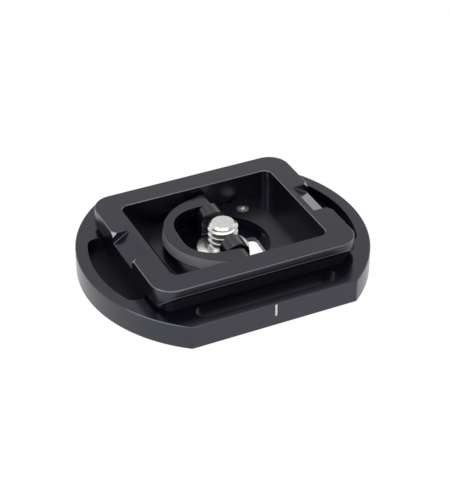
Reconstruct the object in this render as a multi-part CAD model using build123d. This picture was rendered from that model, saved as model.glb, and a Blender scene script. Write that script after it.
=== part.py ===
"""Round tripod quick release plate with a clamping frame, a captive camera screw and a finger ring.

Millimetres, +Z up. The origin is the centre of the plate's underside, and +X runs along the frame.
"""
import os
from math import radians, sqrt, tan

from build123d import *

# Clamping frame: a 38 mm dovetail along X
FRAME_LENGTH = 45.6
FRAME_WIDTH = 38.0
FRAME_HEIGHT = 5.0
FRAME_CORNER_RADIUS = 4.6
POCKET_LENGTH = 35.2
EDGE_CHAMFER = 0.15
LIP_HEIGHT = 1.8
DOVETAIL_DEPTH = 2.1
DOVETAIL_ANGLE = 45.0
NECK_INSET = 0.7
NECK_CORNER_RADIUS = 3.0
POCKET_RADIUS = 1.75

# Notch with a ramp in the middle of each short side of the frame, and the facets at its mouth
NOTCH_LENGTH = 10.0
NOTCH_DROP = 2.45
NOTCH_STRIP = 1.35
NOTCH_FILLET = 0.2
FACET_ALONG_WALL = 0.9
FACET_ALONG_EDGE = 1.3
FACET_DROP = 0.9

# Disc under the frame
BASE_THICKNESS = 5.4
CRESCENT_WIDTH = 5.7
CRESCENT_LENGTH = 23.8
CRESCENT_DEPTH = 2.3
CRESCENT_END_RADIUS = 2.2
CRESCENT_END_SHARE = 0.58
DISC_RIM = 2.6
SLOT_SETBACK = 0.4
SLOT_WIDTH = 3.6
SLOT_LENGTH = 31.8
SLOT_WALL = 2.0
INDEX_WIDTH = 0.45
INDEX_HEIGHT = 2.75
INDEX_DEPTH = 0.15
INDEX_TOP_GAP = 0.27

# Retainer plate, its screws and the washer under it
POCKET_FLOOR = 3.8
RETAINER_THICKNESS = 0.7
RETAINER_SIDE_GAP = 0.15
RETAINER_END_GAP = 3.45
RETAINER_LAND = 2.9
RETAINER_HOLE_STEP = 0.2
RETAINER_SCREW_ANGLE = 46.5
RETAINER_SCREW_INSET = 1.55
RETAINER_SCREW_LENGTH = 2.6
WASHER_THICKNESS = 0.3
WASHER_CLEARANCE = 0.2

# Turning carrier in its stepped bore, and how far it is turned as it lies
BORE_LEDGE = 1.6
BORE_LEDGE_HEIGHT = 1.6
RUNNING_CLEARANCE = 0.1
HUB_CLEARANCE = 0.3
CARRIER_UNDERCUT = 0.7
CARRIER_SHOULDER = 1.9
CARRIER_WALL = 0.6
RECESS_MARGIN = 1.7
CARRIER_FLOOR = 1.1
AXIAL_CLEARANCE = 0.05
WINDOW_WIDTH = 7.0
WINDOW_END_MARGIN = 1.1
WINDOW_LEFT_REACH = 4.2
WINDOW_RADIUS = 1.1
REST_TURN = -3.6

# Camera screw, 1/4 inch thread drawn at its major diameter
THREAD_DIAMETER = 6.35
THREAD_CHAMFER = 0.85
TIP_SETBACK = 0.5
FLANGE_DIAMETER = 11.2
FLANGE_FLATS = 10.0
FLANGE_THICKNESS = 2.15
FLANGE_CHAMFER = 0.3
COIN_SLOT_WIDTH = 1.5
COIN_SLOT_DEPTH = 1.0
SCREW_LIFT = 5.0

# Finger ring, lugs and hinge pins
RING_SWEEP_GAP = 0.75
RING_TAPER = 0.65
RING_GRIP = 2.65
RING_LIFT = 0.25
RING_OPENING_RADIUS = 6.7
RING_CHAMFER = 0.15
EYE_RADIUS = 2.1
EYE_LENGTH = 4.4
EYE_FLOOR_GAP = 0.2
LUG_THICKNESS = 3.2
LUG_GAP = 0.4
LUG_FLAT_GAP = 0.1
LUG_STOP_REACH = 0.6
LUG_STOP_THICKNESS = 0.6
LUG_STOP_GAP = 0.05
LUG_SEAT_DEPTH = 0.3
LUG_SEAT_CLEARANCE = 0.05
LUG_EDGE = 0.2
PIN_DIAMETER = 1.6
PIN_CLEARANCE = 0.05
PIN_INSET = 0.4

# Small countersunk screws with a cross recess
SMALL_SCREW_DIAMETER = 1.6
SMALL_HEAD_DIAMETER = 2.7
SMALL_HEAD_HEIGHT = 0.5
CROSS_LENGTH = 1.5
CROSS_WIDTH = 0.34
CROSS_DEPTH = 0.3
LUG_SCREW_LENGTH = 3.6

# Heights and places worked out from the sizes above
FRAME_TOP = BASE_THICKNESS + FRAME_HEIGHT
LIP_BOTTOM = FRAME_TOP - LIP_HEIGHT
NECK_TOP = LIP_BOTTOM - DOVETAIL_DEPTH / tan(radians(DOVETAIL_ANGLE))
NECK_LENGTH = FRAME_LENGTH - 2 * NECK_INSET
NECK_WIDTH = FRAME_WIDTH - 2 * DOVETAIL_DEPTH
CRESCENT_RADIUS = FRAME_LENGTH / 2 + CRESCENT_WIDTH
DISC_RADIUS = CRESCENT_RADIUS + DISC_RIM
SLOT_Y = FRAME_WIDTH / 2 + SLOT_SETBACK + SLOT_WIDTH / 2
FLAT_Y = SLOT_Y + SLOT_WIDTH / 2 + SLOT_WALL
RETAINER_TOP = POCKET_FLOOR + RETAINER_THICKNESS
WASHER_BOTTOM = POCKET_FLOOR - WASHER_THICKNESS
RECESS_FLOOR = CARRIER_UNDERCUT + CARRIER_FLOOR
THREAD_TIP = FRAME_TOP - TIP_SETBACK
FLANGE_TOP = RECESS_FLOOR + FLANGE_THICKNESS
AXIS_Z = RETAINER_TOP + EYE_FLOOR_GAP + EYE_RADIUS
STOP_BOTTOM = FLANGE_TOP + SCREW_LIFT + LUG_STOP_GAP
LUG_RADIUS = STOP_BOTTOM + LUG_STOP_THICKNESS - AXIS_Z
LUG_BOTTOM = RECESS_FLOOR - LUG_SEAT_DEPTH

# From the screw's flange outwards: lug, eye, ring and pocket, then recess, carrier, bore and retainer
LUG_INNER = FLANGE_FLATS / 2 + LUG_FLAT_GAP
LUG_OUTER = LUG_INNER + LUG_THICKNESS
LUG_MIDDLE = (LUG_INNER + LUG_OUTER) / 2
EYE_INNER = LUG_OUTER + LUG_GAP
RING_RADIUS = EYE_INNER + EYE_LENGTH
POCKET_WIDTH = 2 * (RING_RADIUS + RING_SWEEP_GAP)
RECESS_RADIUS = LUG_OUTER + RECESS_MARGIN
SPIGOT_RADIUS = RECESS_RADIUS + CARRIER_WALL
CARRIER_RADIUS = SPIGOT_RADIUS + CARRIER_SHOULDER
BORE_RADIUS = CARRIER_RADIUS + RUNNING_CLEARANCE
RETAINER_RADIUS = BORE_RADIUS + RETAINER_LAND
RETAINER_SCREW_RADIUS = RETAINER_RADIUS - RETAINER_SCREW_INSET


def upright(outline, bottom, top):
    """Prism of a flat outline between two heights."""
    return Pos(0, 0, bottom) * extrude(outline, amount=top - bottom)


def ring_prism(outer, inner, bottom, top):
    """Round ring between two heights."""
    return upright(Circle(outer) - Circle(inner), bottom, top)


def cross_cylinder(radius, near, far, height):
    """Cylinder along Y between two distances from the middle."""
    middle = (near + far) / 2
    return Pos(0, middle, height) * Rot(X=90) * Cylinder(radius, far - near)


def small_screw(length):
    """Countersunk screw, head up, with the top of its head at the origin."""
    head_radius = SMALL_HEAD_DIAMETER / 2
    shank_radius = SMALL_SCREW_DIAMETER / 2
    profile = make_face(Polyline(
        (0, 0),
        (head_radius, 0),
        (shank_radius, -SMALL_HEAD_HEIGHT),
        (shank_radius, -length),
        (0, -length),
        close=True,
    ))
    screw = revolve(Plane.XZ * profile, Axis.Z)
    for turn in (0, 90):
        arm = Box(CROSS_LENGTH, CROSS_WIDTH, 2 * CROSS_DEPTH)
        screw -= Rot(Z=turn) * arm
    return screw


def small_screw_hole(length):
    """Hole that a small screw fills, apart from its cross recess."""
    head_radius = SMALL_HEAD_DIAMETER / 2
    shank_radius = SMALL_SCREW_DIAMETER / 2
    sink = Pos(0, 0, -SMALL_HEAD_HEIGHT / 2) * Cone(shank_radius, head_radius, SMALL_HEAD_HEIGHT)
    shank = Pos(0, 0, -length / 2) * Cylinder(shank_radius, length)
    return sink + shank


def retainer_screw_places():
    """Places of the two retainer screws, with their head tops flush with the retainer plate."""
    turns = (RETAINER_SCREW_ANGLE, RETAINER_SCREW_ANGLE + 180)
    return [Rot(Z=turn) * Pos(RETAINER_SCREW_RADIUS, 0, RETAINER_TOP) for turn in turns]


def lug_screw_place(side):
    """Place of a lug's screw, which goes up from the carrier's underside."""
    return Pos(0, side * LUG_MIDDLE, CARRIER_UNDERCUT) * Rot(X=180)


def crescent_outline():
    """Recess between the right end of the frame and the disc's rim."""
    near = NECK_LENGTH / 2
    half = CRESCENT_LENGTH / 2
    far = sqrt(CRESCENT_RADIUS**2 - half**2)
    edge = Polyline((far, half), (near, half), (near, -half), (far, -half))
    edge += ThreePointArc((far, -half), (CRESCENT_RADIUS, 0), (far, half))
    outline = make_face(edge)
    end_radius = min(CRESCENT_END_RADIUS, CRESCENT_END_SHARE * (far - near))
    return fillet(outline.vertices(), end_radius)


def notch_tool():
    """Cutter for the right notch: a bar with round lower edges, tipped along the ramp."""
    inner = POCKET_LENGTH / 2 + NOTCH_STRIP
    run = FRAME_LENGTH / 2 - inner
    slope = Vector(run, 0, -NOTCH_DROP)
    reach = 2 * slope.length
    bar_height = NOTCH_DROP + 2 * NOTCH_FILLET
    section = Rectangle(NOTCH_LENGTH, bar_height)
    section = fillet(section.vertices().group_by(Axis.Y)[0], NOTCH_FILLET)
    ramp = Plane(origin=(inner, 0, FRAME_TOP), x_dir=(0, 1, 0), z_dir=slope)
    return extrude(ramp * Pos(0, bar_height / 2) * section, amount=reach, dir=ramp.z_dir)


def facet_tool():
    """Cutter for the small facet where the right notch's far wall meets the frame's outer edge."""
    x = FRAME_LENGTH / 2
    y = NOTCH_LENGTH / 2
    top = make_face(Polyline(
        (x, y, FRAME_TOP),
        (x, y + FACET_ALONG_EDGE, FRAME_TOP),
        (x - FACET_ALONG_WALL, y, FRAME_TOP),
        close=True,
    ))
    return loft([top, Vertex(x, y, FRAME_TOP - FACET_DROP)])


def make_plate_body():
    """Disc, frame, dovetail, pocket, recesses and the bore for the carrier."""
    outline = Circle(DISC_RADIUS) & Rectangle(2 * DISC_RADIUS, 2 * FLAT_Y)
    base = extrude(outline, amount=BASE_THICKNESS)
    base = chamfer(base.edges(), EDGE_CHAMFER)
    for side in (-1, 1):
        slot = Pos(0, side * SLOT_Y) * SlotOverall(SLOT_LENGTH, SLOT_WIDTH)
        base -= upright(slot, 0, BASE_THICKNESS)

    outline = RectangleRounded(FRAME_LENGTH, FRAME_WIDTH, FRAME_CORNER_RADIUS)
    pocket = RectangleRounded(POCKET_LENGTH, POCKET_WIDTH, POCKET_RADIUS)
    frame = upright(outline - pocket, NECK_TOP, FRAME_TOP)
    frame = chamfer(frame.faces().sort_by(Axis.Z)[-1].edges(), EDGE_CHAMFER)
    undercut = Plane.YZ * make_face(Polyline(
        (FRAME_WIDTH / 2, LIP_BOTTOM),
        (FRAME_WIDTH / 2, NECK_TOP),
        (NECK_WIDTH / 2, NECK_TOP),
        close=True,
    ))
    undercut = extrude(undercut, amount=FRAME_LENGTH / 2, both=True)
    neck = upright(
        RectangleRounded(NECK_LENGTH, NECK_WIDTH, NECK_CORNER_RADIUS) - pocket, BASE_THICKNESS, NECK_TOP
    )

    body = base - upright(pocket, POCKET_FLOOR, BASE_THICKNESS) + neck
    body += frame - undercut - Rot(Z=180) * undercut
    crescent = upright(crescent_outline(), BASE_THICKNESS - CRESCENT_DEPTH, BASE_THICKNESS)
    facet = facet_tool()
    for cutter in (crescent, notch_tool(), facet, mirror(facet, about=Plane.XZ)):
        for turn in (0, 180):
            body -= Rot(Z=turn) * cutter
    body -= upright(Circle(BORE_RADIUS), BORE_LEDGE_HEIGHT, POCKET_FLOOR)
    body -= upright(Circle(BORE_RADIUS - BORE_LEDGE), 0, BORE_LEDGE_HEIGHT)
    for place in retainer_screw_places():
        body -= place * small_screw_hole(RETAINER_SCREW_LENGTH)
    index_middle = BASE_THICKNESS - INDEX_TOP_GAP - INDEX_HEIGHT / 2
    body -= Pos(0, -FLAT_Y, index_middle) * Box(INDEX_WIDTH, 2 * INDEX_DEPTH, INDEX_HEIGHT)
    return body


def make_retainer_plate():
    """Plate that keeps the carrier in its bore."""
    half_length = POCKET_LENGTH / 2 - RETAINER_END_GAP
    half_width = POCKET_WIDTH / 2 - RETAINER_SIDE_GAP
    outline = Circle(RETAINER_RADIUS) & Rectangle(2 * half_length, 2 * half_width)
    outline -= Circle(RECESS_RADIUS + RETAINER_HOLE_STEP)
    plate = upright(outline, POCKET_FLOOR, RETAINER_TOP)
    for place in retainer_screw_places():
        plate -= place * small_screw_hole(RETAINER_SCREW_LENGTH)
    return plate


def make_retainer_screws():
    """Two screws, as separate solids."""
    return Compound(children=[place * small_screw(RETAINER_SCREW_LENGTH)
                              for place in retainer_screw_places()])


def make_thrust_washer():
    """Low-friction ring under the retainer plate."""
    return ring_prism(
        CARRIER_RADIUS - WASHER_CLEARANCE, SPIGOT_RADIUS + WASHER_CLEARANCE, WASHER_BOTTOM, POCKET_FLOOR
    )


def make_turn_carrier():
    """Cup whose shoulder and rim lie under the retainer plate, with a window in its floor."""
    hub_radius = BORE_RADIUS - BORE_LEDGE - HUB_CLEARANCE
    cup = upright(Circle(hub_radius), CARRIER_UNDERCUT, BORE_LEDGE_HEIGHT)
    cup += upright(Circle(CARRIER_RADIUS), BORE_LEDGE_HEIGHT, WASHER_BOTTOM - AXIAL_CLEARANCE)
    cup += upright(Circle(SPIGOT_RADIUS), BORE_LEDGE_HEIGHT, POCKET_FLOOR - AXIAL_CLEARANCE)
    cup -= upright(Circle(RECESS_RADIUS), RECESS_FLOOR, POCKET_FLOOR)
    window_right = RECESS_RADIUS - WINDOW_END_MARGIN
    window_middle = (window_right - WINDOW_LEFT_REACH) / 2
    window = RectangleRounded(window_right + WINDOW_LEFT_REACH, WINDOW_WIDTH, WINDOW_RADIUS)
    cup -= upright(Pos(window_middle, 0) * window, 0, RECESS_FLOOR)
    seat_width = 2 * (LUG_RADIUS + LUG_SEAT_CLEARANCE)
    seat_length = LUG_OUTER - LUG_INNER + 2 * LUG_SEAT_CLEARANCE
    for side in (-1, 1):
        seat = Pos(0, side * LUG_MIDDLE) * Rectangle(seat_width, seat_length)
        cup -= upright(seat, LUG_BOTTOM, RECESS_FLOOR)
        cup -= lug_screw_place(side) * small_screw_hole(LUG_SCREW_LENGTH)
    return cup


def make_hinge_lug(side):
    """Arched block with a hole for the pin and a stop over the screw's flange."""
    stop_edge = LUG_INNER - LUG_STOP_REACH
    arch = Plane.XZ * make_face(
        Polyline(
            (LUG_RADIUS, AXIS_Z),
            (LUG_RADIUS, LUG_BOTTOM),
            (-LUG_RADIUS, LUG_BOTTOM),
            (-LUG_RADIUS, AXIS_Z),
        )
        + ThreePointArc((-LUG_RADIUS, AXIS_Z), (0, AXIS_Z + LUG_RADIUS), (LUG_RADIUS, AXIS_Z))
    )
    lug = Pos(0, stop_edge) * extrude(arch, amount=LUG_OUTER - stop_edge, dir=(0, 1, 0))
    outer_edges = lug.faces().sort_by(Axis.Y)[-1].edges().filter_by(
        lambda edge: edge.center().Z > LUG_BOTTOM + LUG_EDGE)
    lug = chamfer(outer_edges, LUG_EDGE)
    flange_room = Pos(0, (stop_edge + LUG_INNER) / 2) * Rectangle(2 * LUG_RADIUS, LUG_STOP_REACH)
    lug -= upright(flange_room, LUG_BOTTOM, STOP_BOTTOM)
    lug -= cross_cylinder(PIN_DIAMETER / 2, LUG_INNER, LUG_OUTER, AXIS_Z)
    if side < 0:
        lug = Rot(Z=180) * lug
    return lug - lug_screw_place(side) * small_screw_hole(LUG_SCREW_LENGTH)


def make_lug_screws():
    """Two screws that hold the lugs from below."""
    return Compound(children=[lug_screw_place(side) * small_screw(LUG_SCREW_LENGTH) for side in (-1, 1)])


def make_hinge_pin(side):
    """Pin pressed into a lug, which one eye of the ring turns on."""
    pin = cross_cylinder(PIN_DIAMETER / 2, LUG_INNER, RING_RADIUS - PIN_INSET, AXIS_Z)
    return Rot(Z=90 - side * 90) * pin


def make_camera_screw():
    """Screw with a flange that has two flats between the lugs, and a coin slot below."""
    tip_radius = THREAD_DIAMETER / 2
    outline = Circle(FLANGE_DIAMETER / 2) & Rectangle(FLANGE_DIAMETER, FLANGE_FLATS)
    flange = upright(outline, RECESS_FLOOR, FLANGE_TOP)
    flange = chamfer(flange.edges().group_by(Axis.Z)[-1], FLANGE_CHAMFER)
    flange -= Pos(0, 0, RECESS_FLOOR) * Box(FLANGE_DIAMETER, COIN_SLOT_WIDTH, 2 * COIN_SLOT_DEPTH)
    shank = upright(Circle(tip_radius), FLANGE_TOP, THREAD_TIP)
    shank = chamfer(shank.edges().group_by(Axis.Z)[-1], THREAD_CHAMFER)
    return flange + shank


def make_finger_ring():
    """C-shaped ring that lies level to the left, with a sloping outer wall and an eye at each end."""
    bottom = AXIS_Z + RING_LIFT
    top = AXIS_Z + EYE_RADIUS
    top_radius = RING_RADIUS - RING_TAPER
    cone = Pos(0, 0, (bottom + top) / 2) * Cone(RING_RADIUS, top_radius, top - bottom)
    half = Pos(-RING_RADIUS / 2, 0) * Rectangle(RING_RADIUS, 2 * RING_RADIUS)
    opening = RectangleRounded(2 * (top_radius - RING_GRIP), 2 * EYE_INNER, RING_OPENING_RADIUS)
    bar = upright(half - opening, bottom, top) & cone
    levels = bar.edges().group_by(Axis.Z)
    long_edges = (levels[0] + levels[-1]).filter_by(lambda edge: edge.center().X < -RING_CHAMFER)
    ring = chamfer(long_edges, RING_CHAMFER)
    eye_trim = upright(Circle(RING_RADIUS), AXIS_Z - EYE_RADIUS, bottom) + cone
    for turn in (0, 180):
        eye = cross_cylinder(EYE_RADIUS, EYE_INNER, RING_RADIUS, AXIS_Z) & eye_trim
        ring += Rot(Z=turn) * eye
    hole_radius = PIN_DIAMETER / 2 + PIN_CLEARANCE
    return ring - cross_cylinder(hole_radius, -RING_RADIUS, RING_RADIUS, AXIS_Z)


FIXED_PIECES = {
    "plate_body": make_plate_body(),
    "retainer_plate": make_retainer_plate(),
    "retainer_screws": make_retainer_screws(),
    "thrust_washer": make_thrust_washer(),
}
TURNING_PIECES = {
    "turn_carrier": make_turn_carrier(),
    "hinge_lug_front": make_hinge_lug(-1),
    "hinge_lug_rear": make_hinge_lug(1),
    "lug_screws": make_lug_screws(),
    "hinge_pin_front": make_hinge_pin(-1),
    "hinge_pin_rear": make_hinge_pin(1),
    "camera_screw": make_camera_screw(),
    "finger_ring": make_finger_ring(),
}

os.makedirs("parts", exist_ok=True)
for name, piece in FIXED_PIECES.items():
    export_step(piece, f"parts/{name}.step")
for name, piece in TURNING_PIECES.items():
    export_step(Rot(Z=REST_TURN) * piece, f"parts/{name}.step")
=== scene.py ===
# %% [markdown]
# # A tripod quick release plate
# The plate is a black anodised disc with two flats, a raised clamping frame, and a captive camera
# screw with a folding finger ring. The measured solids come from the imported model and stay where
# they are. This lesson gives them their finishes, models the threaded screw, the finger ring and
# the index line anew, and builds the studio.

# %% Load the measured solids
from math import cos, pi, radians, sin

import bpy
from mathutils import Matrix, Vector


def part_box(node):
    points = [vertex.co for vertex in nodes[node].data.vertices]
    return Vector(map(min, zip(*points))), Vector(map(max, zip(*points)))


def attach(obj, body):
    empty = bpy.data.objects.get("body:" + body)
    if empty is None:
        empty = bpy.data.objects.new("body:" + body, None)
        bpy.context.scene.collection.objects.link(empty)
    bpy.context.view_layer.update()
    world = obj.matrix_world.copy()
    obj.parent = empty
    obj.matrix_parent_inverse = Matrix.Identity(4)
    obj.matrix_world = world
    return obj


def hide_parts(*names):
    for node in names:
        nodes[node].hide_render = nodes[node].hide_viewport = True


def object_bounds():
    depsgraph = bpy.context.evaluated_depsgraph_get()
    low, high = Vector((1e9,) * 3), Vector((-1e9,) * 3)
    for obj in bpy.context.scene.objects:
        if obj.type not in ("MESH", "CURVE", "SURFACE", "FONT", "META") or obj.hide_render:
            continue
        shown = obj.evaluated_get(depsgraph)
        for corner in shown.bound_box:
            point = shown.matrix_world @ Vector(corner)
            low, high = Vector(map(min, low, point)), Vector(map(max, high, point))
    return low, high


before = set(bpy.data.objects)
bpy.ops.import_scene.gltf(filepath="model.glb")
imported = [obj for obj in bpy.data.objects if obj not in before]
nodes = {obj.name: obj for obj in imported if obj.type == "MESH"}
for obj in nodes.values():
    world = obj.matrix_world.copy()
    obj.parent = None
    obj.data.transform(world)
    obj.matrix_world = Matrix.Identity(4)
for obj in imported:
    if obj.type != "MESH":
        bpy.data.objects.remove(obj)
cad_low, cad_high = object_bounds()
MM = 0.001
print("solids:", sorted(nodes))
print("box in mm:", [round((high - low) / MM, 2) for low, high in zip(cad_low, cad_high)])

# %% [markdown]
# ## The camera
# The photograph was taken with a long lens from the front left, about 35 degrees above the table.
# The picture's height is the sensor's long side, so a focal length in pixels becomes millimetres
# by that ratio. A very small shift puts the lens axis where the photograph has it.

# %% Set up the camera
PICTURE_WIDTH = 450
PICTURE_HEIGHT = 503
SENSOR = 36.0
FOCAL_PIXELS = 1617.0
AXIS_PIXEL = (222.8, 259.1)
AZIMUTH = radians(-25.44)
ELEVATION = radians(35.09)
CAMERA_DISTANCE = 344.4 * MM
AIM = Vector((0, 0, 0.4 * MM))

to_camera = Vector((
    sin(AZIMUTH) * cos(ELEVATION),
    -cos(AZIMUTH) * cos(ELEVATION),
    sin(ELEVATION),
))
bpy.ops.object.camera_add(location=AIM + to_camera * CAMERA_DISTANCE)
camera = bpy.context.object
camera.rotation_euler = (-to_camera).to_track_quat("-Z", "Y").to_euler()
camera.data.sensor_width = SENSOR
camera.data.lens = FOCAL_PIXELS * SENSOR / PICTURE_HEIGHT
camera.data.shift_x = (PICTURE_WIDTH / 2 - AXIS_PIXEL[0]) / PICTURE_HEIGHT
camera.data.shift_y = (AXIS_PIXEL[1] - PICTURE_HEIGHT / 2) / PICTURE_HEIGHT
camera.data.clip_start = 1 * MM
scene = bpy.context.scene
scene.camera = camera
print("lens in mm:", round(camera.data.lens, 1))

# %% [markdown]
# ## Helpers for every finish
# Colours are written as sRGB hex, as in any paint program, and one function turns them into the
# linear values that shaders use. One adds a node with its settings and links. The rest start an
# empty material, turn a size in millimetres into a texture's scale, and dress a solid.

# %% Colour and node helpers
def linear(hex_colour):
    """Linear RGBA of an sRGB hex colour."""
    shares = [int(hex_colour[i:i + 2], 16) / 255 for i in (1, 3, 5)]
    return tuple(s / 12.92 if s <= 0.04045 else ((s + 0.055) / 1.055) ** 2.4 for s in shares) + (1.0,)


def add_node(tree, kind, settings=None, values=None, links=None):
    """Add one node: attributes, socket values, and links as socket: (node, output)."""
    node = tree.nodes.new(kind)
    for name, value in (settings or {}).items():
        setattr(node, name, value)
    for socket, value in (values or {}).items():
        node.inputs[socket].default_value = value
    for socket, (source, output) in (links or {}).items():
        tree.links.new(source.outputs[output], node.inputs[socket])
    return node


def new_material(name):
    """Empty node material with its tree."""
    material = bpy.data.materials.new(name)
    material.use_nodes = True
    material.node_tree.nodes.clear()
    return material, material.node_tree


def per_metre(size_mm):
    """Texture scale whose features are about this size, because objects are in metres."""
    return 1 / (size_mm * MM)


def dress(node_name, material):
    """Give a measured solid its finish."""
    solid = nodes[node_name]
    solid.data.materials.clear()
    solid.data.materials.append(material)


# %% [markdown]
# ## Black anodised aluminium
# The plate is milled, finely blasted and dyed black under a clear oxide layer. The dye is nearly
# black with a hint of navy, so almost all that the eye gets is what the oxide mirrors. Its index
# is higher than a plastic's, and it mirrors blue light a little more. Edges are broken by a small
# chamfer. Chamfers lean 45 degrees upwards and are painted grey as a painted highlight, the higher
# ones brighter. The nicked corners of the notches lean a little further and get a brighter painted
# highlight, and a painted highlight runs as a hairline along the lip's lower edge. Slope and place
# find all three. Walls, cut by the side of the mill, are a little rougher than level faces. The
# floors of the two crescent recesses are rougher, and their mirror tint is darkened as painted
# shade, so they stay dark. The blast's grain is drawn at 0.35 mm, coarser than the real one, to
# show at all.

# %% Black anodised aluminium
BLAST_GRAIN_MM = 0.35
DYE_CLOUD_MM = 6.0
CHAMFER_SLOPE = 0.7071
NICK_SLOPE = 0.635
SLOPE_BAND = 0.012
UPRIGHT_BAND = 0.05
LIP_HALF_WIDTH = 19.0 * MM
LIP_BOTTOM = 8.6 * MM
UNDERCUT_BOTTOM = 6.4 * MM
HAIRLINE = 0.16 * MM
DISC_TOP = 5.4 * MM
FRAME_TOP = 10.4 * MM
LOW_EDGE_HIGHLIGHT = 0.2
SMOOTHEST = 0.15
ROUGHEST = 0.22
WALL_ROUGHNESS = 0.06
RECESS_FLOOR = 3.1 * MM
RECESS_BAND = 0.2 * MM
RECESS_ROUGHNESS = 0.5
LEVEL_SLOPE = 0.9
OXIDE_IOR = 1.68
OXIDE_TINT = linear("#ebeeff")
BLAST_BUMP = 0.03
GRAIN_DEPTH = 0.01 * MM

anodised, tree = new_material("black_anodised_aluminium")
place = add_node(tree, "ShaderNodeTexCoord")
grain = add_node(
    tree, "ShaderNodeTexNoise",
    values={"Scale": per_metre(BLAST_GRAIN_MM), "Detail": 2.0, "Roughness": 0.5},
    links={"Vector": (place, "Object")},
)
cloud = add_node(
    tree, "ShaderNodeTexNoise",
    values={"Scale": per_metre(DYE_CLOUD_MM), "Detail": 2.0},
    links={"Vector": (place, "Object")},
)
slope = add_node(tree, "ShaderNodeNewGeometry")
lean = add_node(tree, "ShaderNodeSeparateXYZ", links={"Vector": (slope, "True Normal")})
chamfer = add_node(
    tree, "ShaderNodeMath", {"operation": "COMPARE"}, {1: CHAMFER_SLOPE, 2: SLOPE_BAND},
    links={0: (lean, "Z")},
)
# The nicked notch corners are found by their slope, for a painted highlight.
nick = add_node(
    tree, "ShaderNodeMath", {"operation": "COMPARE"}, {1: NICK_SLOPE, 2: SLOPE_BAND},
    links={0: (lean, "Z")},
)
upright = add_node(
    tree, "ShaderNodeMath", {"operation": "COMPARE"}, {1: 0.0, 2: UPRIGHT_BAND}, links={0: (lean, "Z")}
)
spot = add_node(tree, "ShaderNodeSeparateXYZ", links={"Vector": (place, "Object")})
aside = add_node(tree, "ShaderNodeMath", {"operation": "ABSOLUTE"}, links={0: (spot, "Y")})
# A hairline along the lip's lower edge, on the upright face, gets a painted highlight.
below = add_node(
    tree, "ShaderNodeMath", {"operation": "SUBTRACT"}, links={0: (spot, "Z"), 1: (aside, "Value")}
)
near_lip = add_node(
    tree, "ShaderNodeMath", {"operation": "COMPARE"},
    {1: LIP_BOTTOM - LIP_HALF_WIDTH + HAIRLINE / 2, 2: HAIRLINE / 2}, links={0: (below, "Value")},
)
above_neck = add_node(
    tree, "ShaderNodeMath", {"operation": "GREATER_THAN"}, {1: UNDERCUT_BOTTOM}, links={0: (spot, "Z")}
)
on_side = add_node(
    tree, "ShaderNodeMath", {"operation": "MULTIPLY"},
    links={0: (upright, "Value"), 1: (above_neck, "Value")},
)
lip_line = add_node(
    tree, "ShaderNodeMath", {"operation": "MULTIPLY"},
    links={0: (near_lip, "Value"), 1: (on_side, "Value")},
)
# Chamfers get a painted highlight, weaker low on the disc and full at the frame's top.
highlight_by_height = add_node(
    tree, "ShaderNodeMapRange", None,
    {"From Min": DISC_TOP, "From Max": FRAME_TOP, "To Min": LOW_EDGE_HIGHLIGHT, "To Max": 1.0},
    links={"Value": (spot, "Z")},
)
chamfer_highlight = add_node(
    tree, "ShaderNodeMath", {"operation": "MULTIPLY"},
    links={0: (chamfer, "Value"), 1: (highlight_by_height, "Result")},
)
painted_edge_highlights = add_node(
    tree, "ShaderNodeMath", {"operation": "MAXIMUM"},
    links={0: (chamfer_highlight, "Value"), 1: (lip_line, "Value")},
)
dye = add_node(
    tree, "ShaderNodeMix", {"data_type": "RGBA"},
    {"A": linear("#06060d"), "B": linear("#0a0a12")},
    links={"Factor": (cloud, "Fac")},
)
# Chamfers and the lip's hairline are painted grey, a painted highlight.
edge_highlight_colour = add_node(
    tree, "ShaderNodeMix", {"data_type": "RGBA"}, {"B": linear("#5a5b60")},
    links={"Factor": (painted_edge_highlights, "Value"), "A": (dye, "Result")},
)
# Nicked notch corners are painted a brighter grey, a painted highlight.
nick_highlight = add_node(
    tree, "ShaderNodeMix", {"data_type": "RGBA"}, {"B": linear("#85868b")},
    links={"Factor": (nick, "Value"), "A": (edge_highlight_colour, "Result")},
)
grit = add_node(
    tree, "ShaderNodeMapRange", None, {"To Min": SMOOTHEST, "To Max": ROUGHEST},
    links={"Value": (grain, "Fac")},
)
steep = add_node(tree, "ShaderNodeMath", {"operation": "ABSOLUTE"}, links={0: (lean, "Z")})
side_milled = add_node(
    tree, "ShaderNodeMapRange", None, {"To Min": WALL_ROUGHNESS, "To Max": 0.0},
    links={"Value": (steep, "Value")},
)
milled = add_node(
    tree, "ShaderNodeMath", {"operation": "ADD"},
    links={0: (grit, "Result"), 1: (side_milled, "Result")},
)
at_recess = add_node(
    tree, "ShaderNodeMath", {"operation": "COMPARE"}, {1: RECESS_FLOOR, 2: RECESS_BAND},
    links={0: (spot, "Z")},
)
facing_up = add_node(
    tree, "ShaderNodeMath", {"operation": "GREATER_THAN"}, {1: LEVEL_SLOPE}, links={0: (lean, "Z")}
)
recess_floor = add_node(
    tree, "ShaderNodeMath", {"operation": "MULTIPLY"},
    links={0: (at_recess, "Value"), 1: (facing_up, "Value")},
)
gloss = add_node(
    tree, "ShaderNodeMapRange", None, {"To Max": RECESS_ROUGHNESS},
    links={"Value": (recess_floor, "Value"), "To Min": (milled, "Value")},
)
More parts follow.
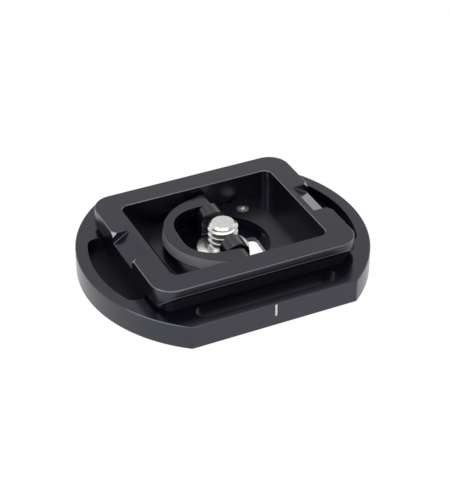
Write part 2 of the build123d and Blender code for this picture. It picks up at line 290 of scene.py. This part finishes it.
# On the recess floors the mirror tint is darkened, a painted shade.
mirror_tint_with_painted_shade = add_node(
    tree, "ShaderNodeMix", {"data_type": "RGBA"}, {"A": OXIDE_TINT, "B": linear("#2a2b30")},
    links={"Factor": (recess_floor, "Value")},
)
relief = add_node(
    tree, "ShaderNodeBump", None, {"Strength": BLAST_BUMP, "Distance": GRAIN_DEPTH},
    links={"Height": (grain, "Fac")},
)
surface = add_node(
    tree, "ShaderNodeBsdfPrincipled", None, {"IOR": OXIDE_IOR, "Specular Tint": OXIDE_TINT},
    links={
        "Base Color": (nick_highlight, "Result"),
        "Specular Tint": (mirror_tint_with_painted_shade, "Result"),
        "Roughness": (gloss, "Result"),
        "Normal": (relief, "Normal"),
    },
)
add_node(tree, "ShaderNodeOutputMaterial", links={"Surface": (surface, "BSDF")})
dress("plate_body", anodised)
print("anodised: plate_body")

# %% [markdown]
# ## Blackened steel and the gloss black cup
# The lugs and the finger ring are steel with a black chemical finish, polished by handling. The
# ring's outer wall is painted light grey, a painted highlight. The retainer plate below them is
# punched from sheet and keeps a duller skin. The turning carrier is a turned cup, dyed black like
# the plate but not blasted, so it mirrors its own window. All have fine mottling, so one function
# makes them.

# %% Blackened steel
MOTTLE_MM = 0.8
MOTTLE_BUMP = 0.02


def black_finish(name, dark, pale, smooth, rough, index):
    """Black finish with fine mottling between two tones and two roughnesses."""
    finish, tree = new_material(name)
    place = add_node(tree, "ShaderNodeTexCoord")
    mottle = add_node(
        tree, "ShaderNodeTexNoise",
        values={"Scale": per_metre(MOTTLE_MM), "Detail": 3.0, "Roughness": 0.6},
        links={"Vector": (place, "Object")},
    )
    oxide = add_node(
        tree, "ShaderNodeMix", {"data_type": "RGBA"}, {"A": linear(dark), "B": linear(pale)},
        links={"Factor": (mottle, "Fac")},
    )
    gloss = add_node(
        tree, "ShaderNodeMapRange", None, {"To Min": smooth, "To Max": rough},
        links={"Value": (mottle, "Fac")},
    )
    relief = add_node(
        tree, "ShaderNodeBump", None, {"Strength": MOTTLE_BUMP, "Distance": GRAIN_DEPTH},
        links={"Height": (mottle, "Fac")},
    )
    surface = add_node(
        tree, "ShaderNodeBsdfPrincipled", None, {"IOR": index, "Specular Tint": linear("#eff2ff")},
        links={
            "Base Color": (oxide, "Result"),
            "Roughness": (gloss, "Result"),
            "Normal": (relief, "Normal"),
        },
    )
    add_node(tree, "ShaderNodeOutputMaterial", links={"Surface": (surface, "BSDF")})
    return finish


polished_black = black_finish("polished_black_oxide_steel", "#08080c", "#0d0d12", 0.18, 0.25, 1.59)
# This light grey is a painted highlight for the ring's outer wall.
painted_highlight_steel = black_finish("black_oxide_steel_painted_highlight", "#6e6e70", "#787879", 0.34, 0.40, 1.65)
sheet_black = black_finish("black_oxide_sheet_steel", "#08080d", "#0b0b12", 0.22, 0.27, 1.44)
gloss_black = black_finish("turned_black_anodised_aluminium", "#0e0e17", "#12121d", 0.05, 0.09, 1.65)
for name in ("hinge_lug_front", "hinge_lug_rear"):
    dress(name, polished_black)
dress("retainer_plate", sheet_black)
dress("turn_carrier", gloss_black)
print("black: lugs, retainer plate, carrier")

# %% [markdown]
# ## Bright steel
# The camera screw and the pins are turned from stainless steel. A lathe leaves fine rings round
# the axis, which stretch each highlight, so the rings follow the distance from the Z axis. They
# are drawn at 0.15 mm, coarser than the real ones, to show at all. The small screws are nickel
# plated, which is warmer, and the plating is mottled where a driver has slipped on it.

# %% Bright steel
LATHE_RING_MM = 0.15
HANDLING_MM = 1.5
PLATING_MM = 0.5
LATHE_BUMP = 0.04
LATHE_DEPTH = 0.02 * MM


def turned_steel(name, dark, pale, smooth, rough, mark_mm):
    """Bright turned metal with marks of one size, between two tones and two roughnesses."""
    finish, tree = new_material(name)
    place = add_node(tree, "ShaderNodeTexCoord")
    rings = add_node(
        tree, "ShaderNodeTexWave", {"wave_type": "RINGS", "rings_direction": "Z"},
        {"Scale": per_metre(LATHE_RING_MM) / (2 * pi), "Distortion": 0.6, "Detail": 2.0},
        links={"Vector": (place, "Object")},
    )
    handling = add_node(
        tree, "ShaderNodeTexNoise",
        values={"Scale": per_metre(mark_mm), "Detail": 3.0},
        links={"Vector": (place, "Object")},
    )
    tint = add_node(
        tree, "ShaderNodeMix", {"data_type": "RGBA"}, {"A": linear(dark), "B": linear(pale)},
        links={"Factor": (handling, "Fac")},
    )
    gloss = add_node(
        tree, "ShaderNodeMapRange", None, {"To Min": smooth, "To Max": rough},
        links={"Value": (handling, "Fac")},
    )
    relief = add_node(
        tree, "ShaderNodeBump", None, {"Strength": LATHE_BUMP, "Distance": LATHE_DEPTH},
        links={"Height": (rings, "Fac")},
    )
    surface = add_node(
        tree, "ShaderNodeBsdfPrincipled", None, {"Metallic": 1.0},
        links={
            "Base Color": (tint, "Result"),
            "Roughness": (gloss, "Result"),
            "Normal": (relief, "Normal"),
        },
    )
    add_node(tree, "ShaderNodeOutputMaterial", links={"Surface": (surface, "BSDF")})
    return finish


stainless = turned_steel("turned_stainless_steel", "#dcdad8", "#e7e6e4", 0.20, 0.30, HANDLING_MM)
nickel = turned_steel("nickel_plated_steel", "#c9beb7", "#fffaf6", 0.18, 0.28, PLATING_MM)
for name in ("hinge_pin_front", "hinge_pin_rear"):
    dress(name, stainless)
for name in ("retainer_screws", "lug_screws"):
    dress(name, nickel)
print("bright: small screws and pins")

# %% [markdown]
# ## White acetal
# The thrust washer is a low-friction plastic ring, hidden under the retainer plate. Turned acetal
# is milky and slightly waxy.

# %% White acetal
HAZE_MM = 2.0

acetal, tree = new_material("white_acetal")
place = add_node(tree, "ShaderNodeTexCoord")
haze = add_node(
    tree, "ShaderNodeTexNoise", values={"Scale": per_metre(HAZE_MM), "Detail": 2.0},
    links={"Vector": (place, "Object")},
)
milky = add_node(
    tree, "ShaderNodeMix", {"data_type": "RGBA"},
    {"A": linear("#e6e5e0"), "B": linear("#efeeea")},
    links={"Factor": (haze, "Fac")},
)
surface = add_node(
    tree, "ShaderNodeBsdfPrincipled", None, {"Roughness": 0.4, "IOR": 1.48},
    links={"Base Color": (milky, "Result")},
)
add_node(tree, "ShaderNodeOutputMaterial", links={"Surface": (surface, "BSDF")})
dress("thrust_washer", acetal)
print("acetal: thrust_washer")

# %% [markdown]
# ## Modelling helpers
# Operators act on whatever is selected, so everything is deselected before a primitive is added.
# Faces and edges are then picked in code by where they lie.

# %% Selecting and finishing
def deselect():
    """Leave edit mode with nothing selected."""
    if bpy.context.object and bpy.context.object.mode != "OBJECT":
        bpy.ops.object.mode_set(mode="OBJECT")
    bpy.ops.object.select_all(action="DESELECT")


def pick(piece, kind, test):
    """Select in edit mode only edges whose ends, or faces whose centre, pass the test."""
    bpy.ops.object.mode_set(mode="OBJECT")
    mesh = piece.data
    for group in (mesh.vertices, mesh.edges, mesh.polygons):
        group.foreach_set("select", [False] * len(group))
    for item in getattr(mesh, kind):
        if kind == "edges":
            ends = [mesh.vertices[v].co for v in item.vertices]
            item.select = all(test(end) for end in ends)
        else:
            item.select = test(item.center)
    bpy.ops.object.mode_set(mode="EDIT")
    bpy.ops.mesh.select_mode(type={"edges": "EDGE", "polygons": "FACE"}[kind])


def settle(piece, name):
    """Put the place into the mesh, so that the object sits at the origin."""
    deselect()
    piece.select_set(True)
    bpy.context.view_layer.objects.active = piece
    bpy.ops.object.transform_apply(location=True, rotation=True, scale=True)
    piece.name = name
    piece.data.name = name


def join_by(piece, other, operation):
    """Apply an exact boolean with another mesh, which is then removed."""
    deselect()
    piece.select_set(True)
    bpy.context.view_layer.objects.active = piece
    cut = piece.modifiers.new("cut", "BOOLEAN")
    cut.operation = operation
    cut.solver = "EXACT"
    cut.object = other
    bpy.ops.object.modifier_apply(modifier=cut.name)
    bpy.data.objects.remove(other)


# %% [markdown]
# ## The camera screw's thread
# The solid screw has a plain shank at the thread's outer diameter. The real one is a 1/4 inch
# screw with 20 turns to the inch, and its flanks lean 30 degrees. A screw modifier winds one
# tooth's outline up the axis, with a few turns to spare, and both ends are cut off level.

# %% Wind the thread
PITCH = 25.4 / 20 * MM
THREAD_RADIUS = 3.175 * MM
TOOTH_SHARE = 0.613
TOOTH_DEPTH = TOOTH_SHARE * PITCH
CREST = PITCH / 8
FLANK_SHARE = 0.577
FLANK = TOOTH_DEPTH * FLANK_SHARE
ROOT = PITCH - CREST - 2 * FLANK
STEPS_PER_TURN = 96
THREAD_PHASE = radians(200)
SPARE_TURNS = 4
TRIM_MARGIN = 0.2 * MM
WELD = 0.001 * MM
FLANGE_THICKNESS = 2.15 * MM

screw_low, screw_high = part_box("camera_screw")
flange_top = screw_low.z + FLANGE_THICKNESS
turns = int((screw_high.z - flange_top) / PITCH) + SPARE_TURNS

deselect()
bpy.ops.mesh.primitive_plane_add(size=1 * MM, location=(0, 0, 0))
thread = bpy.context.object
bpy.ops.object.mode_set(mode="EDIT")
bpy.ops.mesh.merge(type="CENTER")
start = Vector((THREAD_RADIUS - TOOTH_DEPTH, 0, flange_top - 2 * PITCH))
bpy.ops.transform.translate(value=start)
for outward, upward in ((0, ROOT), (TOOTH_DEPTH, FLANK), (0, CREST), (-TOOTH_DEPTH, FLANK)):
    bpy.ops.mesh.extrude_region_move(TRANSFORM_OT_translate={"value": (outward, 0, upward)})
bpy.ops.object.mode_set(mode="OBJECT")
wind = thread.modifiers.new("wind", "SCREW")
wind.axis = "Z"
wind.angle = 2 * pi
wind.screw_offset = PITCH
wind.iterations = turns
wind.steps = STEPS_PER_TURN
wind.render_steps = STEPS_PER_TURN
wind.use_merge_vertices = True
wind.merge_threshold = WELD
bpy.ops.object.modifier_apply(modifier=wind.name)
thread.rotation_euler.z = THREAD_PHASE
settle(thread, "camera_screw_threaded")

bpy.ops.object.mode_set(mode="EDIT")
for height, clear_above in ((screw_high.z + TRIM_MARGIN, True), (flange_top - TRIM_MARGIN, False)):
    bpy.ops.mesh.select_all(action="SELECT")
    bpy.ops.mesh.bisect(
        plane_co=(0, 0, height), plane_no=(0, 0, 1), use_fill=True,
        clear_outer=clear_above, clear_inner=not clear_above,
    )
bpy.ops.mesh.select_all(action="SELECT")
bpy.ops.mesh.remove_doubles(threshold=WELD / 2)
bpy.ops.mesh.normals_make_consistent(inside=False)
bpy.ops.object.mode_set(mode="OBJECT")
print("thread vertices:", len(thread.data.vertices))

# %% [markdown]
# A bar with a chamfered end, wider than the thread so that no faces coincide, trims it to a flat
# tip with a broken edge. The lathe stops the groove short of both ends, so a slim plug fills it
# inside the chamfer and a plain neck covers it above the flange. The flange is a short cylinder
# with two flats cut by bisecting, and a coin slot crosses its underside. It is keyed between the
# lugs, so it is turned as they are.

# %% Trim the tip and add the neck and flange
TIP_CHAMFER = 0.80 * MM
BAR_MARGIN = 0.1 * MM
PLUG_RADIUS = 2.78 * MM
PLUG_HEIGHT = 0.5 * MM
PLUG_INSET = 0.02 * MM
NECK_RADIUS = 3.16 * MM
NECK_HEIGHT = 0.95 * MM
NECK_CHAMFER = 0.4 * MM
FLANGE_RADIUS = 5.6 * MM
FLANGE_FLAT = 5.0 * MM
FLANGE_CHAMFER = 0.3 * MM
COIN_SLOT_WIDTH = 1.5 * MM
COIN_SLOT_DEPTH = 1.0 * MM
REST_TURN = radians(-3.6)
OVERLAP = 0.1 * MM
TOUCH = 0.01 * MM
SCREW_SHADE_ANGLE = radians(28)


def chamfered_rod(name, radius, bottom, top, chamfer):
    """Upright rod with a chamfer round its top end."""
    deselect()
    bpy.ops.mesh.primitive_cylinder_add(
        vertices=STEPS_PER_TURN, radius=radius, depth=top - bottom, location=(0, 0, (top + bottom) / 2)
    )
    rod = bpy.context.object
    settle(rod, name)
    pick(rod, "edges", lambda co: co.z > top - TOUCH)
    bpy.ops.mesh.bevel(offset=chamfer, segments=1)
    deselect()
    return rod


tip = screw_high.z
bar = chamfered_rod(
    "bar", THREAD_RADIUS + BAR_MARGIN, flange_top - OVERLAP, tip, TIP_CHAMFER + BAR_MARGIN
)
join_by(thread, bar, "INTERSECT")
plug_top = tip - PLUG_INSET
plug_chamfer = PLUG_RADIUS - (THREAD_RADIUS - TIP_CHAMFER)
plug = chamfered_rod("plug", PLUG_RADIUS, tip - PLUG_HEIGHT, plug_top, plug_chamfer)
join_by(thread, plug, "UNION")
neck = chamfered_rod("neck", NECK_RADIUS, flange_top - OVERLAP, flange_top + NECK_HEIGHT, NECK_CHAMFER)
join_by(thread, neck, "UNION")

deselect()
bpy.ops.mesh.primitive_cylinder_add(
    vertices=STEPS_PER_TURN, radius=FLANGE_RADIUS, depth=FLANGE_THICKNESS,
    location=(0, 0, screw_low.z + FLANGE_THICKNESS / 2),
)
flange = bpy.context.object
settle(flange, "flange")
bpy.ops.object.mode_set(mode="EDIT")
for side in (-1, 1):
    bpy.ops.mesh.select_all(action="SELECT")
    bpy.ops.mesh.bisect(
        plane_co=(0, side * FLANGE_FLAT, 0), plane_no=(0, side, 0), use_fill=True, clear_outer=True
    )
pick(flange, "edges", lambda co: co.z > flange_top - TOUCH)
bpy.ops.mesh.bevel(offset=FLANGE_CHAMFER, segments=2)
deselect()
bpy.ops.mesh.primitive_cube_add(size=1, location=(0, 0, screw_low.z))
slot_tool = bpy.context.object
slot_tool.scale = (3 * FLANGE_RADIUS, COIN_SLOT_WIDTH, 2 * COIN_SLOT_DEPTH)
settle(slot_tool, "slot_tool")
join_by(flange, slot_tool, "DIFFERENCE")
flange.rotation_euler.z = REST_TURN
settle(flange, "flange")
join_by(thread, flange, "UNION")

deselect()
thread.select_set(True)
bpy.context.view_layer.objects.active = thread
bpy.ops.object.shade_smooth_by_angle(angle=SCREW_SHADE_ANGLE)
thread.data.materials.clear()
thread.data.materials.append(stainless)
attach(thread, "screw")
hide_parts("camera_screw")
print("screw faces:", len(thread.data.polygons))

# %% [markdown]
# ## The finger ring
# The ring is a C-shaped bar with a nearly upright outer wall, painted light grey as a painted
# highlight, and it swings on two eyes. A cone is halved by bisecting, a rounded window is cut out
# of it, and the eyes are short cylinders across the bar's ends. The edges are broken before the
# eyes join.

# %% Shape the ring
RING_BOTTOM = 6.3 * MM
RING_TOP = 8.9 * MM
RING_BOTTOM_RADIUS = 12.85 * MM
RING_TOP_RADIUS = 12.45 * MM
RING_FACETS = 192
RING_EDGE = 0.15 * MM
RING_SHADE_ANGLE = radians(20)
OPENING_HALF_LENGTH = 9.8 * MM
OPENING_HALF_WIDTH = 8.7 * MM
OPENING_CORNER = 6.7 * MM
OPENING_MARGIN = 1 * MM
OPENING_SEGMENTS = 24
EYE_RADIUS = 2.1 * MM
EYE_OUTER = 13.1 * MM
EYE_FACETS = 64
EYE_HOLE = 0.85 * MM
HOLE_FACETS = 48
HINGE_HEIGHT = 6.8 * MM

deselect()
bpy.ops.mesh.primitive_cone_add(
    vertices=RING_FACETS, radius1=RING_BOTTOM_RADIUS, radius2=RING_TOP_RADIUS,
    depth=RING_TOP - RING_BOTTOM, location=(0, 0, (RING_TOP + RING_BOTTOM) / 2),
)
ring = bpy.context.object
settle(ring, "finger_ring_painted_band")
bpy.ops.object.mode_set(mode="EDIT")
bpy.ops.mesh.select_all(action="SELECT")
bpy.ops.mesh.bisect(plane_co=(0, 0, 0), plane_no=(1, 0, 0), use_fill=True, clear_outer=True)

deselect()
bpy.ops.mesh.primitive_plane_add(size=1, location=(0, 0, RING_BOTTOM - OPENING_MARGIN))
opening = bpy.context.object
opening.scale = (2 * OPENING_HALF_LENGTH, 2 * OPENING_HALF_WIDTH, 1)
settle(opening, "opening")
bpy.ops.object.mode_set(mode="EDIT")
bpy.ops.mesh.select_all(action="SELECT")
bpy.ops.mesh.bevel(offset=OPENING_CORNER, segments=OPENING_SEGMENTS, affect="VERTICES")
rise = RING_TOP - RING_BOTTOM + 2 * OPENING_MARGIN
bpy.ops.mesh.extrude_region_move(TRANSFORM_OT_translate={"value": (0, 0, rise)})
bpy.ops.mesh.select_all(action="SELECT")
bpy.ops.mesh.normals_make_consistent(inside=False)
deselect()
join_by(ring, opening, "DIFFERENCE")
pick(
    ring, "edges",
    lambda co: co.x < -TOUCH and (co.z > RING_TOP - TOUCH or co.z < RING_BOTTOM + TOUCH),
)
bpy.ops.mesh.bevel(offset=RING_EDGE, segments=2)
deselect()

for side in (-1, 1):
    bpy.ops.mesh.primitive_cylinder_add(
        vertices=EYE_FACETS, radius=EYE_RADIUS, depth=EYE_OUTER - OPENING_HALF_WIDTH,
        location=(0, side * (EYE_OUTER + OPENING_HALF_WIDTH) / 2, HINGE_HEIGHT),
        rotation=(pi / 2, 0, 0),
    )
    eye = bpy.context.object
    settle(eye, "eye")
    round_end = chamfered_rod(
        "round_end", EYE_OUTER,
        HINGE_HEIGHT - 2 * EYE_RADIUS, HINGE_HEIGHT + EYE_RADIUS + TOUCH, RING_EDGE,
    )
    join_by(eye, round_end, "INTERSECT")
    join_by(ring, eye, "UNION")
deselect()
bpy.ops.mesh.primitive_cylinder_add(
    vertices=HOLE_FACETS, radius=EYE_HOLE, depth=3 * EYE_OUTER,
    location=(0, 0, HINGE_HEIGHT), rotation=(pi / 2, 0, 0),
)
bore = bpy.context.object
settle(bore, "bore")
join_by(ring, bore, "DIFFERENCE")
ring.rotation_euler.z = REST_TURN
settle(ring, "finger_ring_painted_band")
bpy.ops.object.shade_smooth_by_angle(angle=RING_SHADE_ANGLE)
ring.data.materials.clear()
ring.data.materials.append(polished_black)
# The second slot paints the outer wall light grey, a painted highlight.
ring.data.materials.append(painted_highlight_steel)
pick(
    ring, "polygons",
    lambda co: co.x < -EYE_RADIUS and Vector((co.x, co.y)).length > RING_TOP_RADIUS
    and RING_BOTTOM + RING_EDGE < co.z < RING_TOP - RING_EDGE,
)
ring.active_material_index = 1
bpy.ops.object.material_slot_assign()
deselect()
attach(ring, "ring")
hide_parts("finger_ring")
print("ring in mm:", [round(x / MM, 2) for x in ring.dimensions])

# %% [markdown]
# ## The index line
# A short groove in the front flat is filled with white paint, to line the plate up with a lens.
# Paint in a groove dries with a slightly hollow face, so the front of a small block is inset and
# pushed back a little.

# %% Fill the index groove
INDEX_WIDTH = 0.45 * MM
INDEX_HEIGHT = 2.75 * MM
INDEX_FILL = 0.13 * MM
INDEX_CENTRE_Z = 3.755 * MM
GROOVE_DEPTH = 0.15 * MM
GROOVE_FLOOR = cad_low.y + GROOVE_DEPTH
PAINT_EDGE = 0.06 * MM
PAINT_HOLLOW = 0.03 * MM
PIGMENT_MM = 0.4

deselect()
bpy.ops.mesh.primitive_cube_add(size=1, location=(0, GROOVE_FLOOR - INDEX_FILL / 2, INDEX_CENTRE_Z))
paint = bpy.context.object
paint.scale = (INDEX_WIDTH, INDEX_FILL, INDEX_HEIGHT)
settle(paint, "index_paint")
pick(paint, "polygons", lambda co: co.y < GROOVE_FLOOR - INDEX_FILL + TOUCH)
bpy.ops.mesh.inset(thickness=PAINT_EDGE, depth=0)
bpy.ops.transform.translate(value=(0, PAINT_HOLLOW, 0))
deselect()

white_paint, tree = new_material("white_index_enamel")
place = add_node(tree, "ShaderNodeTexCoord")
pigment = add_node(
    tree, "ShaderNodeTexNoise", values={"Scale": per_metre(PIGMENT_MM), "Detail": 2.0},
    links={"Vector": (place, "Object")},
)
enamel = add_node(
    tree, "ShaderNodeMix", {"data_type": "RGBA"},
    {"A": linear("#d2d2d0"), "B": linear("#ececea")},
    links={"Factor": (pigment, "Fac")},
)
surface = add_node(
    tree, "ShaderNodeBsdfPrincipled", None, {"Roughness": 0.45},
    links={"Base Color": (enamel, "Result")},
)
add_node(tree, "ShaderNodeOutputMaterial", links={"Surface": (surface, "BSDF")})
paint.data.materials.append(white_paint)
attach(paint, "plate")
print("index line:", [round(x / MM, 2) for x in paint.dimensions])

# %% [markdown]
# ## The studio
# The plate lies on a white table in a white light tent. Table and tent look white to the camera,
# and metal mirrors them, while the light that falls on the part stays at a plain level. The tent's
# roof is dimmer than its walls, as black gloss seen from above shows. Where the walls end and the
# roof starts is given as the sine of the elevation. The table's glow is turned down where the
# plate's rim covers it, a painted shadow, so little light comes up through the strap slots.

# %% White table and tent
FLOOR_SIZE = 3.0
WORLD_FILL = 0.45
ROOF_TONE = 0.55
WALL_TOP = 0.40
ROOF_START = 0.60
TABLE_GLOW = 0.93
SHADE_GLOW = 0.35
SHADE_RADIUS = 22 * MM
SHADE_REACH = 7 * MM
SHADE_HALF_WIDTH = 24.5 * MM


def shown_rays(tree, rays):
    """1 where a ray of this light path comes from the camera, from gloss or through glass."""
    seen = add_node(
        tree, "ShaderNodeMath", {"operation": "MAXIMUM"},
        links={0: (rays, "Is Camera Ray"), 1: (rays, "Is Glossy Ray")},
    )
    return add_node(
        tree, "ShaderNodeMath", {"operation": "MAXIMUM"},
        links={0: (seen, "Value"), 1: (rays, "Is Transmission Ray")},
    )


world = bpy.data.worlds.new("white_tent")
scene.world = world
world.use_nodes = True
tree = world.node_tree
tree.nodes.clear()
rays = add_node(tree, "ShaderNodeLightPath")
shown = shown_rays(tree, rays)
direction = add_node(tree, "ShaderNodeTexCoord")
height = add_node(tree, "ShaderNodeSeparateXYZ", links={"Vector": (direction, "Generated")})
roof = add_node(
    tree, "ShaderNodeMapRange", {"interpolation_type": "SMOOTHSTEP"},
    {"From Min": WALL_TOP, "From Max": ROOF_START, "To Min": 1.0, "To Max": ROOF_TONE},
    links={"Value": (height, "Z")},
)
white = add_node(
    tree, "ShaderNodeMapRange", None, {"To Max": 1.0},
    links={"Value": (rays, "Is Camera Ray"), "To Min": (roof, "Result")},
)
level = add_node(
    tree, "ShaderNodeMapRange", None, {"To Min": WORLD_FILL},
    links={"Value": (shown, "Value"), "To Max": (white, "Result")},
)
tent = add_node(
    tree, "ShaderNodeBackground", None, {"Color": (1, 1, 1, 1)}, links={"Strength": (level, "Result")}
)
add_node(tree, "ShaderNodeOutputWorld", links={"Surface": (tent, "Background")})

deselect()
bpy.ops.mesh.primitive_plane_add(size=FLOOR_SIZE, location=(0, 0, cad_low.z))
table = bpy.context.object
table.name = "white_table"
card, tree = new_material("white_card")
rays = add_node(tree, "ShaderNodeLightPath")
shown = shown_rays(tree, rays)
place = add_node(tree, "ShaderNodeTexCoord")
spot = add_node(tree, "ShaderNodeSeparateXYZ", links={"Vector": (place, "Object")})
aside = add_node(tree, "ShaderNodeMath", {"operation": "ABSOLUTE"}, links={0: (spot, "Y")})
far = add_node(tree, "ShaderNodeVectorMath", {"operation": "LENGTH"}, links={0: (place, "Object")})
under_rim = add_node(
    tree, "ShaderNodeMath", {"operation": "COMPARE"}, {1: SHADE_RADIUS, 2: SHADE_REACH},
    links={0: (far, "Value")},
)
between_flats = add_node(
    tree, "ShaderNodeMath", {"operation": "LESS_THAN"}, {1: SHADE_HALF_WIDTH},
    links={0: (aside, "Value")},
)
covered = add_node(
    tree, "ShaderNodeMath", {"operation": "MULTIPLY"},
    links={0: (under_rim, "Value"), 1: (between_flats, "Value")},
)
# Under the rim the glow is turned down, a painted shadow.
strength = add_node(
    tree, "ShaderNodeMapRange", None, {"To Min": TABLE_GLOW, "To Max": SHADE_GLOW},
    links={"Value": (covered, "Value")},
)
glow = add_node(tree, "ShaderNodeEmission", links={"Strength": (strength, "Result")})
shadowed = add_node(tree, "ShaderNodeBsdfDiffuse", None, {"Color": linear("#505050")})
lit = add_node(tree, "ShaderNodeAddShader", links={0: (glow, "Emission"), 1: (shadowed, "BSDF")})
pale = add_node(tree, "ShaderNodeBsdfDiffuse", None, {"Color": linear("#e6e6e6")})
choice = add_node(
    tree, "ShaderNodeMixShader",
    links={0: (shown, "Value"), 1: (pale, "BSDF"), 2: (lit, "Shader")},
)
add_node(tree, "ShaderNodeOutputMaterial", links={"Surface": (choice, "Shader")})
table.data.materials.append(card)
print("stage: white_table, lit by world", world.name)

# %% [markdown]
# Three large soft lamps stand overhead, in front and at the left. They are big and dim, so that
# bright metal mirrors broad soft patches, and the camera doesn't see the lamps themselves.

# %% Soft lamps
LAMPS = (
    ("overhead_softbox", (0.05, 0.10, 0.55), 0.80, 1.9),
    ("front_softbox", (-0.06, -0.42, 0.57), 0.58, 1.6),
    ("left_softbox", (-0.53, -0.08, 0.38), 0.40, 1.4),
)
for name, stand, size, power in LAMPS:
    deselect()
    bpy.ops.object.light_add(type="AREA", location=stand)
    lamp = bpy.context.object
    lamp.name = name
    lamp.data.size = size
    lamp.data.energy = power
    lamp.visible_camera = False
    lamp.rotation_euler = Vector(stand).to_track_quat("Z", "Y").to_euler()
print("lamps:", [lamp[0] for lamp in LAMPS])

scene.view_settings.view_transform = "Standard"
